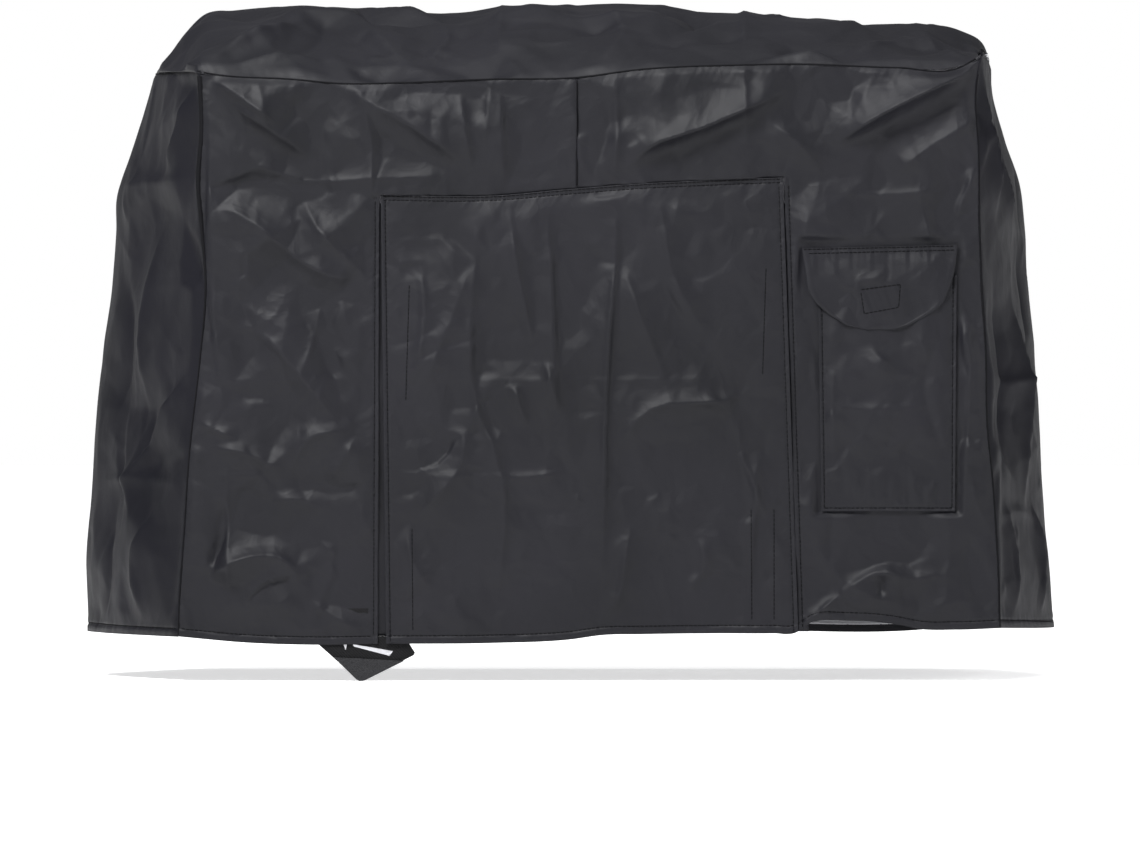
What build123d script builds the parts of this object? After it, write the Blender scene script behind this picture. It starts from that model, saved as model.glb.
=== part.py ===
from build123d import *

import os

# Grill cover: a sewn hood of coated cloth with a lift-up front flap, a flap pocket and two hem straps.
# Millimetres, +Z up, the front faces -Y. Heights are worked out from the hem, and everything is written
# shifted down by HOOD_REST, so the origin is on the inner face of the ridge, where a grill's hood
# carries the cover.

# Cloth and sewing
CLOTH = 1.0  # thickness of one panel
TAPE = 1.0  # hook tape and loop tape
SEWN_GAP = 0.4  # between the edges of two sewn panels
BINDING = 1.6  # bound seam allowance, thickness
ALLOWANCE = 9.0  # from the outer face of the front or back to the inner edge of an allowance
ROOT = 2.6  # from the same face to the edge of the allowance that is next to the seam
# How far the two edges of an allowance stand from its seam: at a corner, and below a top seam
CORNER_STAND = (2.0, 8.0)
TOP_STAND = (2.4, 8.0)
# The allowance between a side and the top: how far its two edges stand in from the seam, and below it
SIDE_STAND_IN = (3.0, 9.0)
SIDE_STAND_LOW = (4.0, 10.0)

# Overall form
HALF_DEPTH = 280.0  # from the mid-depth to the outer face of the front and of the back
HALF_BAND = 40.0  # the soft fold in each side, and the flat of the ridge, are 80 wide
RIDGE = 720.0  # top of the ridge above the hem
HOOD_REST = RIDGE - CLOTH
# Height above the hem, x of the corner seam, x of the fold at mid-depth
LEFT_SIDE = [(0, -443, -560), (250, -424, -548), (500, -420, -525), (595, -420, -496), (636, -420, -480)]
RIGHT_SIDE = [(0, 487, 562), (250, 475, 545), (480, 464, 527), (605, 462, 494), (650, 466, 486)]
# x and height of the front top seam, x and height of the ridge behind it
TOP = [
    (-420, 636, -480, 642),
    (-405, 635, -426, 709),
    (-330, 629, -330, RIDGE),
    (-190, 624, -190, RIDGE),
    (190, 644, 190, RIDGE),
    (400, 646, 400, 696),
    (456, 649, 456, 687),
    (466, 650, 486, 655),
]

# Lengths of the bound allowances, and the seam that joins the two front panels above the flap
TOP_SEAM_REACH = (-412, 458)
SIDE_SEAM_REACH = 250.0  # from the mid-depth to either end
CENTRE_SEAM = 8.0  # x
CENTRE_SEAM_TOP = 624.0
CENTRE_SEAM_RAISED = 2.0  # from the door's head up to the bottom of the seam's allowance
CENTRE_SEAM_CLEAR = 0.1  # between the panels and the allowance behind them

# Front flap over the door opening
# Height, left edge and right edge of the door opening at the hem, and at its head, where the flap is sewn
DOOR_FOOT = (0, -209, 257)
DOOR_HEAD_LEFT = (-215, 497)
DOOR_HEAD_RIGHT = (242, 516)
FLAP_CLEAR = 1.0  # between the flap's sides and the door's edges
PLACKET_IN = 45.0  # how far a placket reaches behind the flap
PLACKET_OUT = 12.0  # how far it reaches behind the panel that it is sewn to
PLACKET_RETURN = 1.0  # from the door's edge to the part that is sewn to the panel
PLACKET_LOW = 2.0  # bottom of a placket above the hem
PLACKET_SHORT = 12.0  # from the door's head down to the top of a placket
STRIP = 25.0  # width of the hook and loop strips
# Centre x, bottom and top of each strip
STRIPS = {
    "upper_left": (-198, 265, 396),
    "lower_left": (-190, 5, 123),
    "upper_right": (230, 294, 418),
    "lower_right": (218, 17, 145),
}

# Pocket on the right front panel
POCKET_LEFT = 280.0
POCKET_RIGHT = 437.0
POCKET_BOTTOM = 144.0
POCKET_TOP = 407.0
POCKET_DEEP = 9.0
# Height, left and right of the pocket flap, from its stitched edge down to its rounded end
POCKET_FLAP = [(437, 262, 438), (410, 266, 436), (374, 281, 421), (356, 306, 394), (346, 333, 364)]
PATCH_LEFT = 330.0
PATCH_RIGHT = 373.0
PATCH_BOTTOM = 365.0
PATCH_TOP = 392.0

# Hem straps
STRAP = 1.2  # webbing thickness
FACING_THICK = 0.6  # loop facing on the left strap
ANCHOR = (2, 30)  # bottom and top of the part sewn inside the hem
LEFT_ANCHOR = (-285, -228)
RIGHT_ANCHOR = (275, 325)
RIGHT_STRAP_LENGTH = 150.0
RIGHT_STRAP_LOW = 18.5  # bottom of the folded-up strap above the hem, which rides up there
STRAP_DROP = 2.0  # from the hem down to the top of the left strap
LEFT_STRAP = [(-287, -STRAP_DROP), (-242, -44), (-233, -45), (-177, -14), (-182, -STRAP_DROP)]
FACING = [(-262, -3), (-205, -13), (-208, -20), (-262, -9)]

FRONT = -HALF_DEPTH
FRONT_IN = FRONT + CLOTH
TUCKED = HALF_DEPTH - CLOTH - SEWN_GAP  # y of the side and top panels' edges, behind the front and back
CORE = (0, 0, 300)  # a point inside the hood, which shows folded() which way is in
HEM_CORE = (0, 0, 0)  # the same for sheets near the top


def between(stations, at, column):
    """The value of a column at a place, from stations in order of their first value."""
    for low, high in zip(stations, stations[1:]):
        if low[0] <= at <= high[0]:
            share = (at - low[0]) / (high[0] - low[0])
            return low[column] + share * (high[column] - low[column])
    raise ValueError(at)


def triangles(corners):
    """A four-sided patch as two triangles, without any that have no area."""
    a, b, c, d = corners
    return [
        Face(Wire.make_polygon(three))
        for three in ((a, b, c), (a, c, d))
        if (three[1] - three[0]).cross(three[2] - three[0]).length > 1e-6
    ]


def folded(rows, thickness, inside):
    """A closed sheet: rows of points on its outer face, made thick towards the point called inside."""
    rows = [[Vector(*point) for point in row] for row in rows]
    inside = Vector(*inside)
    last_row, last = len(rows) - 1, len(rows[0]) - 1
    inner = []
    for r, row in enumerate(rows):
        inner.append([])
        for c, point in enumerate(row):
            across = row[min(c + 1, last)] - row[max(c - 1, 0)]
            along = rows[min(r + 1, last_row)][c] - rows[max(r - 1, 0)][c]
            normal = across.cross(along).normalized()
            if normal.dot(inside - point) < 0:
                normal = -normal
            inner[-1].append(point + normal * thickness)
    rim = [(0, c) for c in range(last)] + [(r, last) for r in range(last_row)]
    rim += [(last_row, c) for c in range(last, 0, -1)] + [(r, 0) for r in range(last_row, 0, -1)]
    faces = []
    for grid in (rows, inner):
        for r in range(last_row):
            for c in range(last):
                faces += triangles([grid[r][c], grid[r][c + 1], grid[r + 1][c + 1], grid[r + 1][c]])
    for (r, c), (s, d) in zip(rim, rim[1:] + rim[:1]):
        faces += triangles([rows[r][c], rows[s][d], inner[s][d], inner[r][c]])
    return Solid(Shell(faces))


def upright(outline, y_low, y_high):
    """A flat piece that stands facing the front: an outline of (x, height) between two depths."""
    face = make_face(Polyline([(x, 0, z) for x, z in outline], close=True))
    return Pos(0, y_high, 0) * extrude(face, amount=y_high - y_low, dir=(0, -1, 0))


def block(x, y, z):
    """A box from three pairs of limits."""
    size = [high - low for low, high in (x, y, z)]
    middle = [(high + low) / 2 for low, high in (x, y, z)]
    return Pos(*middle) * Box(*size)


def side_edge(side):
    return [(seam, height) for height, seam, _ in side]


def top_edge(low, high):
    """The top seam's points from one x to another, in order."""
    ends = [(x, between(TOP, x, 1)) for x in (low, high)]
    return [ends[0]] + [(x, z) for x, z, _, _ in TOP if low < x < high] + [ends[1]]


def head(x):
    """Height of the door's head, which slopes up to the right."""
    return between([DOOR_HEAD_LEFT, DOOR_HEAD_RIGHT], x, 1)


# Panels of the hood


def front_left_panel():
    middle = CENTRE_SEAM - SEWN_GAP / 2
    outline = side_edge(LEFT_SIDE) + top_edge(TOP[0][0], middle)[1:]
    return upright(outline + [(middle, head(middle)), DOOR_HEAD_LEFT, (DOOR_FOOT[1], 0)], FRONT, FRONT_IN)


def front_right_panel():
    middle = CENTRE_SEAM + SEWN_GAP / 2
    outline = side_edge(RIGHT_SIDE) + top_edge(middle, TOP[-1][0])[-2::-1]
    return upright(outline + [(middle, head(middle)), DOOR_HEAD_RIGHT, (DOOR_FOOT[2], 0)], FRONT, FRONT_IN)


def back_panel():
    top = top_edge(TOP[0][0], TOP[-1][0])
    outline = side_edge(LEFT_SIDE) + top[1:-1] + side_edge(RIGHT_SIDE)[::-1]
    return upright(outline, HALF_DEPTH - CLOTH, HALF_DEPTH)


def side_panel(side, outward):
    """One side, from the front corner seam round its soft fold to the back corner seam."""
    rows = []
    for height, seam, fold in side:
        z = height if height < side[-1][0] else height - CLOTH - SEWN_GAP
        edge = seam + outward * SEWN_GAP / 2
        rows.append([(edge, -TUCKED, z), (fold, -HALF_BAND, z), (fold, HALF_BAND, z), (edge, TUCKED, z)])
    return folded(rows, CLOTH, CORE)


def top_panel():
    rows = []
    for x, z, ridge_x, ridge_z in TOP:
        near, far = (ridge_x, -HALF_BAND, ridge_z), (ridge_x, HALF_BAND, ridge_z)
        rows.append([(x, -TUCKED, z), near, far, (x, TUCKED, z)])
    return folded(rows, CLOTH, HEM_CORE)


# Bound seam allowances, which stand inside the corners


def corner_seam(side, inward, front):
    """Allowance of a corner seam: inward is the way into the hood along X, front is -1 or 1 along Y."""
    (near, far), root, tip = CORNER_STAND, HALF_DEPTH - ROOT, HALF_DEPTH - ALLOWANCE
    rows = []
    for height, seam, _ in side[:-1]:
        root_edge = (seam + inward * near, front * root, height)
        rows.append([root_edge, (seam + inward * far, front * tip, height)])
    return folded(rows, BINDING, CORE)


def top_seam(front):
    """Allowance of a top seam: front is -1 for the front seam and 1 for the back seam."""
    (near, far), root, tip = TOP_STAND, HALF_DEPTH - ROOT, HALF_DEPTH - ALLOWANCE
    rows = [[(x, front * root, z - near), (x, front * tip, z - far)] for x, z in top_edge(*TOP_SEAM_REACH)]
    return folded(rows, BINDING, HEM_CORE)


def side_top_seam(side, inward):
    """Allowance of the seam between a side and the top, clear of the allowances at the corners."""
    height, seam, fold = side[-1]
    end = between([(-HALF_DEPTH, seam), (-HALF_BAND, fold)], -SIDE_SEAM_REACH, 1)
    run = [(-SIDE_SEAM_REACH, end), (-HALF_BAND, fold), (HALF_BAND, fold), (SIDE_SEAM_REACH, end)]
    stands = list(zip(SIDE_STAND_IN, SIDE_STAND_LOW))
    rows = [[(x + inward * stand, y, height - low) for stand, low in stands] for y, x in run]
    return folded(rows, BINDING, HEM_CORE)


def centre_seam():
    half = BINDING / 2
    depth = (FRONT_IN + CENTRE_SEAM_CLEAR, FRONT + ALLOWANCE)
    height = (head(CENTRE_SEAM) + CENTRE_SEAM_RAISED, CENTRE_SEAM_TOP)
    return block((CENTRE_SEAM - half, CENTRE_SEAM + half), depth, height)


# Door opening and its flap. Its layers, from the front: flap, hook tape, gap, loop tape, placket.

HOOK_IN = FRONT_IN + TAPE
LOOP_OUT = HOOK_IN + SEWN_GAP
PLACKET_FACE = LOOP_OUT + TAPE
PLACKET_BACK = PLACKET_FACE + CLOTH


def front_flap_panel():
    _, left, right = DOOR_FOOT
    (left_head, low), (right_head, high) = DOOR_HEAD_LEFT, DOOR_HEAD_RIGHT
    outline = [(left, 0), (left_head, low - SEWN_GAP), (right_head, high - SEWN_GAP), (right, 0)]
    outline = [(x + (FLAP_CLEAR if x < 0 else -FLAP_CLEAR), z) for x, z in outline]
    return upright(outline, FRONT, FRONT_IN)


def placket(foot, top, inward):
    """Facing behind one edge of the door: a strip behind the flap, with a return sewn to the panel."""
    bottom, top = (foot, PLACKET_LOW), (top[0], top[1] - PLACKET_SHORT)

    def band(near, far, y_low):
        xs = [(bottom, near), (top, near), (top, far), (bottom, far)]
        return upright([(x + inward * out, z) for (x, z), out in xs], y_low, PLACKET_BACK)

    sewn_down = band(-PLACKET_OUT, -PLACKET_RETURN, FRONT_IN)
    return band(-PLACKET_OUT, PLACKET_IN, PLACKET_FACE) + sewn_down


def strip(name, y_low, y_high):
    middle, bottom, top = STRIPS[name]
    return block((middle - STRIP / 2, middle + STRIP / 2), (y_low, y_high), (bottom, top))


# Pocket and its flap

POCKET_FACE = FRONT - POCKET_DEEP
LOOP_FACE = POCKET_FACE - TAPE
HOOK_FACE = LOOP_FACE - 2 * SEWN_GAP
POCKET_FLAP_FACE = HOOK_FACE - TAPE - CLOTH


def pocket_panel():
    """A patch pocket: its front stands off the panel, and its sides and bottom are sewn down."""
    left, right = POCKET_LEFT, POCKET_RIGHT
    pouch = block((left, right), (POCKET_FACE, FRONT), (POCKET_BOTTOM, POCKET_TOP))
    inside = (left + CLOTH, right - CLOTH)
    return pouch - block(inside, (POCKET_FACE + CLOTH, FRONT), (POCKET_BOTTOM + CLOTH, POCKET_TOP))


def patch(y_low, y_high):
    return block((PATCH_LEFT, PATCH_RIGHT), (y_low, y_high), (PATCH_BOTTOM, PATCH_TOP))


def pocket_flap_panel():
    """The flap leaves the panel at its stitched edge and hangs down over the pocket's mouth."""
    rows = []
    for n, (z, left, right) in enumerate(POCKET_FLAP):
        y = FRONT - CLOTH - SEWN_GAP if n == 0 else POCKET_FLAP_FACE
        rows.append([(left, y, z), (right, y, z)])
    return folded(rows, CLOTH, CORE)


# Hem straps


def strap_anchor(reach):
    return block(reach, (FRONT_IN, FRONT_IN + STRAP), ANCHOR)


def left_strap_webbing():
    near = FRONT_IN + FACING_THICK
    return upright(LEFT_STRAP, near, near + STRAP)


def left_strap_facing():
    return upright(FACING, FRONT_IN, FRONT_IN + FACING_THICK)


def right_strap_webbing():
    """The other strap, folded up behind the panel, clear of the part that is sewn down."""
    near = FRONT_IN + STRAP + 2 * SEWN_GAP
    height = (RIGHT_STRAP_LOW, RIGHT_STRAP_LOW + RIGHT_STRAP_LENGTH)
    return block(RIGHT_ANCHOR, (near, near + STRAP), height)


def all_pieces():
    pieces = {
        "top_panel": top_panel(),
        "front_left_panel": front_left_panel(),
        "front_right_panel": front_right_panel(),
        "back_panel": back_panel(),
        "left_side_panel": side_panel(LEFT_SIDE, -1),
        "right_side_panel": side_panel(RIGHT_SIDE, 1),
        "front_top_seam": top_seam(-1),
        "back_top_seam": top_seam(1),
        "left_front_seam": corner_seam(LEFT_SIDE, 1, -1),
        "right_front_seam": corner_seam(RIGHT_SIDE, -1, -1),
        "left_back_seam": corner_seam(LEFT_SIDE, 1, 1),
        "right_back_seam": corner_seam(RIGHT_SIDE, -1, 1),
        "left_top_seam": side_top_seam(LEFT_SIDE, 1),
        "right_top_seam": side_top_seam(RIGHT_SIDE, -1),
        "centre_seam": centre_seam(),
        "front_flap_panel": front_flap_panel(),
        "left_placket": placket(DOOR_FOOT[1], DOOR_HEAD_LEFT, 1),
        "right_placket": placket(DOOR_FOOT[2], DOOR_HEAD_RIGHT, -1),
        "pocket_panel": pocket_panel(),
        "pocket_loop_patch": patch(LOOP_FACE, POCKET_FACE),
        "pocket_flap_panel": pocket_flap_panel(),
        "pocket_hook_patch": patch(HOOK_FACE - TAPE, HOOK_FACE),
        "left_strap_anchor": strap_anchor(LEFT_ANCHOR),
        "right_strap_anchor": strap_anchor(RIGHT_ANCHOR),
        "left_strap_webbing": left_strap_webbing(),
        "left_strap_facing": left_strap_facing(),
        "right_strap_webbing": right_strap_webbing(),
    }
    for name in STRIPS:
        pieces[f"flap_hook_{name}"] = strip(name, FRONT_IN, HOOK_IN)
        pieces[f"placket_loop_{name}"] = strip(name, LOOP_OUT, PLACKET_FACE)
    return pieces


os.makedirs("parts", exist_ok=True)
for name, piece in all_pieces().items():
    export_step(Pos(0, 0, -HOOD_REST) * piece, f"parts/{name}.step")
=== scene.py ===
import math

import bpy
import numpy as np
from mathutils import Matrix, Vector
from mathutils.bvhtree import BVHTree
from mathutils.geometry import delaunay_2d_cdt


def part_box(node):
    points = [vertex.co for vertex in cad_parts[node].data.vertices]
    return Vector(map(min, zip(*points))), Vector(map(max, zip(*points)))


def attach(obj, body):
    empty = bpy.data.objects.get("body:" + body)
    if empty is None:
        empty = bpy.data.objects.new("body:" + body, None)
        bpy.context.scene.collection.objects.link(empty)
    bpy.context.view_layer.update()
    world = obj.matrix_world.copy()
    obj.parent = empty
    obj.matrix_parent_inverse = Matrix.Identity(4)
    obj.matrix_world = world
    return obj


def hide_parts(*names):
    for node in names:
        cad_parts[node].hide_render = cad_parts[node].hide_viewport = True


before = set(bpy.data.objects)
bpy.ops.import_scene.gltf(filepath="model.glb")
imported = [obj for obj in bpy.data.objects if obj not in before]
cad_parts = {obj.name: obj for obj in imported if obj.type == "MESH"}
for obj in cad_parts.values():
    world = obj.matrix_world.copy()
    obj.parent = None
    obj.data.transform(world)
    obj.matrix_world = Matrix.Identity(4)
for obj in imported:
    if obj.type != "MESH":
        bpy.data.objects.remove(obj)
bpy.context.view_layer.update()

# ---- Studio ------------------------------------------------------------------------------------
# A wide pale floor under a bright horizon, a big soft light high on the left, a weak one on the right,
# and a faint ceiling. The camera stands far off, square to the front of the cover.
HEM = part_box("back_panel")[0].z
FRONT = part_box("front_left_panel")[0].y
SHOT_WIDTH = 1.288  # across the front panels' plane
LENS = 300.0
SENSOR = 36.0

camera = bpy.data.objects.new("camera", bpy.data.cameras.new("camera"))
camera.data.lens = LENS
camera.data.sensor_width = SENSOR
camera.data.clip_end = 80.0
camera.location = (0.0, FRONT - SHOT_WIDTH * LENS / SENSOR, HEM + 0.2345)
camera.rotation_euler = (math.radians(90), 0.0, 0.0)
bpy.context.scene.collection.objects.link(camera)
bpy.context.scene.camera = camera

world = bpy.data.worlds.new("studio")
world.use_nodes = True
nodes, links = world.node_tree.nodes, world.node_tree.links
direction = nodes.new("ShaderNodeTexCoord")
height = nodes.new("ShaderNodeSeparateXYZ")
links.new(direction.outputs["Generated"], height.inputs["Vector"])
sky = nodes.new("ShaderNodeValToRGB")
sky.color_ramp.elements[0].position = 0.05
sky.color_ramp.elements[0].color = (1.0, 1.0, 1.0, 1.0)
sky.color_ramp.elements[1].position = 0.20
sky.color_ramp.elements[1].color = (0.20, 0.20, 0.21, 1.0)
links.new(height.outputs["Z"], sky.inputs["Fac"])
links.new(sky.outputs["Color"], nodes["Background"].inputs["Color"])
nodes["Background"].inputs["Strength"].default_value = 1.0
bpy.context.scene.world = world
bpy.context.scene.view_settings.view_transform = "Standard"


def softbox(name, place, aim, size, watts):
    light = bpy.data.lights.new(name, "AREA")
    light.shape = "RECTANGLE"
    light.size, light.size_y = size
    light.energy = watts
    lamp = bpy.data.objects.new(name, light)
    lamp.location = place
    lamp.rotation_euler = (Vector(aim) - Vector(place)).to_track_quat("-Z", "Y").to_euler()
    bpy.context.scene.collection.objects.link(lamp)


softbox("upper_left", (-1.05, -1.95, 1.95), (0, -0.2, -0.4), (1.3, 0.8), 215)
softbox("right", (2.6, -1.3, 0.5), (0.3, -0.1, -0.4), (0.8, 1.2), 30)
ceiling = bpy.data.lights.new("ceiling", "SUN")
ceiling.energy = 1.2
ceiling.angle = math.radians(50)
bpy.context.scene.collection.objects.link(bpy.data.objects.new("ceiling", ceiling))


def new_mesh(name, points, faces, materials=(), smooth=True):
    mesh = bpy.data.meshes.new(name)
    mesh.from_pydata([tuple(p) for p in points], [], [tuple(int(i) for i in f) for f in faces])
    mesh.update()
    mesh.polygons.foreach_set("use_smooth", [smooth] * len(mesh.polygons))
    piece = bpy.data.objects.new(name, mesh)
    bpy.context.scene.collection.objects.link(piece)
    for material in materials:
        mesh.materials.append(material)
    return piece


def shader(name):
    """A new material, its node tree, and its principled shader."""
    material = bpy.data.materials.new(name)
    material.use_nodes = True
    return material, material.node_tree, material.node_tree.nodes["Principled BSDF"]


FLOOR_REACH = 60.0
spokes = 72
floor_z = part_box("left_strap_webbing")[0].z - 0.007
points = [
    (FLOOR_REACH * math.cos(turn), FLOOR_REACH * math.sin(turn), floor_z)
    for turn in np.linspace(0, 2 * math.pi, spokes, endpoint=False)
]
faces = [range(spokes)]
white, tree, paint = shader("studio_floor")
paint.inputs["Base Color"].default_value = (0.92, 0.92, 0.92, 1.0)
paint.inputs["Roughness"].default_value = 0.9
paint.inputs["Specular IOR Level"].default_value = 0.0
paint.inputs["Emission Color"].default_value = (1.0, 1.0, 1.0, 1.0)
paint.inputs["Emission Strength"].default_value = 0.6
new_mesh("studio_floor", points, faces, [white])

# ---- Left front panel --------------------------------------------------------------------------
# Coated polyester, black and satin outside, silver inside. The panel is an L that stands beside the
# flap and runs over it to the centre seam. Its hem and door edge are turned in once and sewn down.
# Sizes here are in millimetres, and heights are taken from the hem. A fold's crest is drawn as it lies.
MM = 0.001
CLOTH = 0.5
HEM_TURN = 8.0
CENTRE = 8.0  # x of the seam between the two fronts, above the flap
DOOR_TALL = 500
ABOVE_DOOR = 135  # from the door's head up to the top seam
HALF_DEPTH = 280
MESH = 2.3  # size of the front's squares
LEFT_SEAM = [(-12, -444), (30, -443), (118, -437), (209, -431), (306, -420), (400, -413), (463, -418),
             (512, -422), (570, -418), (641, -421)]
TOP_SEAM = [(-421, 638), (-405, 635), (-315, 629), (-253, 624), (-191, 625), (-90, 629), (8, 631), (79, 640),
            (191, 645), (259, 646), (371, 642), (440, 642), (470, 660)]
HEM_LINE = [(-450, -1), (-358, -9), (-291, -11), (-205, -10), (-90, -9), (0, -5), (37, 0), (83, 1), (160, 2),
            (230, 2), (254, 2.5), (264, 8), (272, 14), (282, 16.6), (312, 16.3), (345, 15), (372, 11.5),
            (394, 7), (436, 6), (490, 8)]
HEAD_LINE = [(-215, 497), (-79, 497), (-11, 503), (79, 510), (160, 514), (242, 517)]
LEFT_DOOR = (-217, -215)  # x of the opening's left edge, at the hem and at its head
BELLY = 9  # how far the cloth swells out low on the left
BELLY_AT = (-349, 40)
BELLY_WIDE = 44
LEFT_FRONT_FOLDS = [
    ([(-410, 632), (-379, 612), (-347, 589), (-324, 571)], 8, 25, 8),
    ([(-396, 610), (-355, 581), (-314, 555), (-286, 532)], 7, 24, 9),
    ([(-261, 620), (-212, 594), (-151, 557), (-106, 521)], 6, 20, 14),
    ([(-338, 616), (-294, 581), (-273, 536)], -3, 16, 12),
    ([(-413, 487), (-372, 475), (-331, 444), (-286, 412), (-225, 397)], 7, 22, 14),
    ([(-304, 498), (-282, 455), (-253, 426), (-221, 397)], 5, 16, 12),
    ([(-219, 395), (-266, 383), (-323, 377)], -4, 20, 20),
    ([(-381, 360), (-340, 332), (-295, 282), (-256, 233)], 7, 24, 16),
    ([(-315, 373), (-282, 327), (-254, 253)], -3, 14, 14),
    ([(-406, 600), (-408, 480), (-409, 400), (-403, 356), (-397, 303), (-391, 249)], 4, 18, 2.5),
    ([(-126, 622), (-110, 520)], 3, 5, 12),
    ([(-79, 622), (-74, 504)], 2.5, 5, 12),
    ([(-396, 515), (-290, 512), (-216, 516), (-110, 521)], 1.8, 5, 9),
    ([(-424, 242), (-398, 230), (-373, 221)], 3.5, 8, 4),
    ([(-414, 213), (-365, 205), (-332, 190), (-316, 183)], 6, 12, 18),
    ([(-316, 183), (-295, 221), (-266, 230), (-240, 226)], 5, 14, 12),
    ([(-316, 183), (-291, 168), (-254, 164), (-215, 178)], -4, 12, 12),
    ([(-240, 226), (-262, 188), (-275, 172)], 3, 9, 9),
    ([(-390, 155), (-392, 114), (-403, 77), (-409, 56)], -6, 4, 14),
    ([(-388, 209), (-387, 81), (-386, -6)], 1.8, 3, 7),
    ([(-411, 56), (-390, 77), (-357, 89), (-324, 85), (-308, 65), (-316, 44)], 8, 11, 26),
    ([(-304, 44), (-275, 27), (-234, 2)], 3, 10, 12),
    ([(-341, 151), (-291, 147), (-287, 131)], 3, 8, 8),
    ([(-382, 172), (-357, 147), (-382, 114)], -3, 9, 9),
    ([(-421, 288), (-300, 288), (-217, 290)], 0.7, 3, 7),
    ([(-421, 180), (-330, 181)], 0.7, 3, 7),
]


def bend(points, at):
    """A smooth line through a few points, read at the places called at, in the first value's units."""
    places, values = np.array(points, float).T
    slopes = np.gradient(values, places)
    at = np.clip(at, places[0], places[-1])
    n = np.clip(np.searchsorted(places, at, side="right") - 1, 0, len(places) - 2)
    step = places[n + 1] - places[n]
    t = (at - places[n]) / step
    return (
        (2 * t**3 - 3 * t**2 + 1) * values[n]
        + (t**3 - 2 * t**2 + t) * step * slopes[n]
        + (3 * t**2 - 2 * t**3) * values[n + 1]
        + (t**3 - t**2) * step * slopes[n + 1]
    )


def rounded(t):
    """A soft step from nothing at nought to one at one."""
    t = np.clip(t, 0, 1)
    return t * t * (3 - 2 * t)


def fold(x, z, crest, rise, left, right, crisp=0.7, fade=0.35):
    """Height of one fold. Its crest runs through the points, it falls away over the two widths to the
    left and right of the way the points run, and it fades out at both ends."""
    crest = np.array(crest, float)
    marks = np.concatenate([[0], np.cumsum(np.hypot(*np.diff(crest, axis=0).T))])
    if len(crest) > 2:
        fine = np.linspace(0, marks[-1], 3 * len(crest))
        crest = np.array([bend(np.c_[marks, crest[:, k]], fine) for k in (0, 1)]).T
        marks = np.concatenate([[0], np.cumsum(np.hypot(*np.diff(crest, axis=0).T))])
    nearest, along, side = np.full(x.shape, 1e9), np.zeros(x.shape), np.ones(x.shape)
    for (ax, az), (bx, bz), mark, end in zip(crest, crest[1:], marks, marks[1:]):
        run = end - mark
        dx, dz = (bx - ax) / run, (bz - az) / run
        t = np.clip((x - ax) * dx + (z - az) * dz, 0, run)
        ex, ez = x - ax - t * dx, z - az - t * dz
        away = np.hypot(ex, ez)
        closer = away < nearest
        nearest = np.where(closer, away, nearest)
        along = np.where(closer, mark + t, along)
        side = np.where(closer, dx * ez - dz * ex, side)
    width = np.where(side > 0, left, right)
    ends = rounded(np.minimum(along, marks[-1] - along) / (fade * marks[-1]))
    return rise * ends * np.exp(-(np.sqrt(nearest**2 + crisp**2) - crisp) / width)


def folds(x, z, several):
    """The heights of several folds added up, each worked out only near its crest."""
    total = np.zeros(x.shape)
    for one in several:
        reach = 5 * max(one[2:4])
        places = np.array(one[0], float)
        low, high = places.min(axis=0) - reach, places.max(axis=0) + reach
        near = (x > low[0]) & (x < high[0]) & (z > low[1]) & (z < high[1])
        if near.any():
            total[near] += fold(x[near], z[near], *one)
    return total


def crumple(x, z, count, rise, seed, spread=0.9, lean=math.pi / 2):
    """Many small folds at chance places, the marks of cloth that has been packed and handled."""
    chance = np.random.default_rng(seed)
    low, high = (x.min(), z.min()), (x.max(), z.max())
    several = []
    for _ in range(count):
        px, pz = chance.uniform(low, high)
        turn, half = chance.normal(lean, spread), chance.uniform(16, 75)
        dx, dz = math.cos(turn) * half, math.sin(turn) * half
        sway = chance.normal(0, 0.16, 2) * half
        crest = [(px - dx, pz - dz), (px + sway[0], pz + sway[1]), (px + dx, pz + dz)]
        size = rise * chance.gamma(2.0, 0.5) * chance.choice([-1, 1])
        several.append((crest, size, *chance.uniform(3, 17, 2), chance.uniform(0.4, 1.3), 0.5))
    return folds(x, z, several)


def facets(x, z, spacing, rise, seed, stretch=1.5):
    """Crumpled cloth as flat facets with crisp creases between them, longer upright than across."""
    chance = np.random.default_rng(seed)
    across = np.arange(x.min() - spacing, x.max() + 2 * spacing, spacing)
    up = np.arange(z.min() - spacing * stretch, z.max() + 2 * spacing * stretch, spacing * stretch)
    spots = np.array([(px, pz) for px in across for pz in up])
    spots += chance.uniform(-0.46, 0.46, spots.shape) * (spacing, spacing * stretch)
    tops = chance.normal(0, rise, len(spots))
    triangles = delaunay_2d_cdt([Vector(p) for p in spots], [], [], 0, 1e-6)[2]
    total = np.zeros(x.shape)
    for triangle in triangles:
        a, b, c = spots[list(triangle)]
        near = (x >= min(a[0], b[0], c[0])) & (x <= max(a[0], b[0], c[0]))
        near &= (z >= min(a[1], b[1], c[1])) & (z <= max(a[1], b[1], c[1]))
        if not near.any():
            continue
        twice = (b[0] - a[0]) * (c[1] - a[1]) - (c[0] - a[0]) * (b[1] - a[1])
        px, pz = x[near] - a[0], z[near] - a[1]
        s = (px * (c[1] - a[1]) - pz * (c[0] - a[0])) / twice
        t = (pz * (b[0] - a[0]) - px * (b[1] - a[1])) / twice
        height = tops[triangle[0]] * (1 - s - t) + tops[triangle[1]] * s + tops[triangle[2]] * t
        inside = (s >= -1e-9) & (t >= -1e-9) & (s + t <= 1 + 1e-9)
        total[near] = np.where(inside, height, total[near])
    padded = np.pad(total, 1, mode="edge")
    return (4 * total + padded[:-2, 1:-1] + padded[2:, 1:-1] + padded[1:-1, :-2] + padded[1:-1, 2:]) / 8


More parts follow.
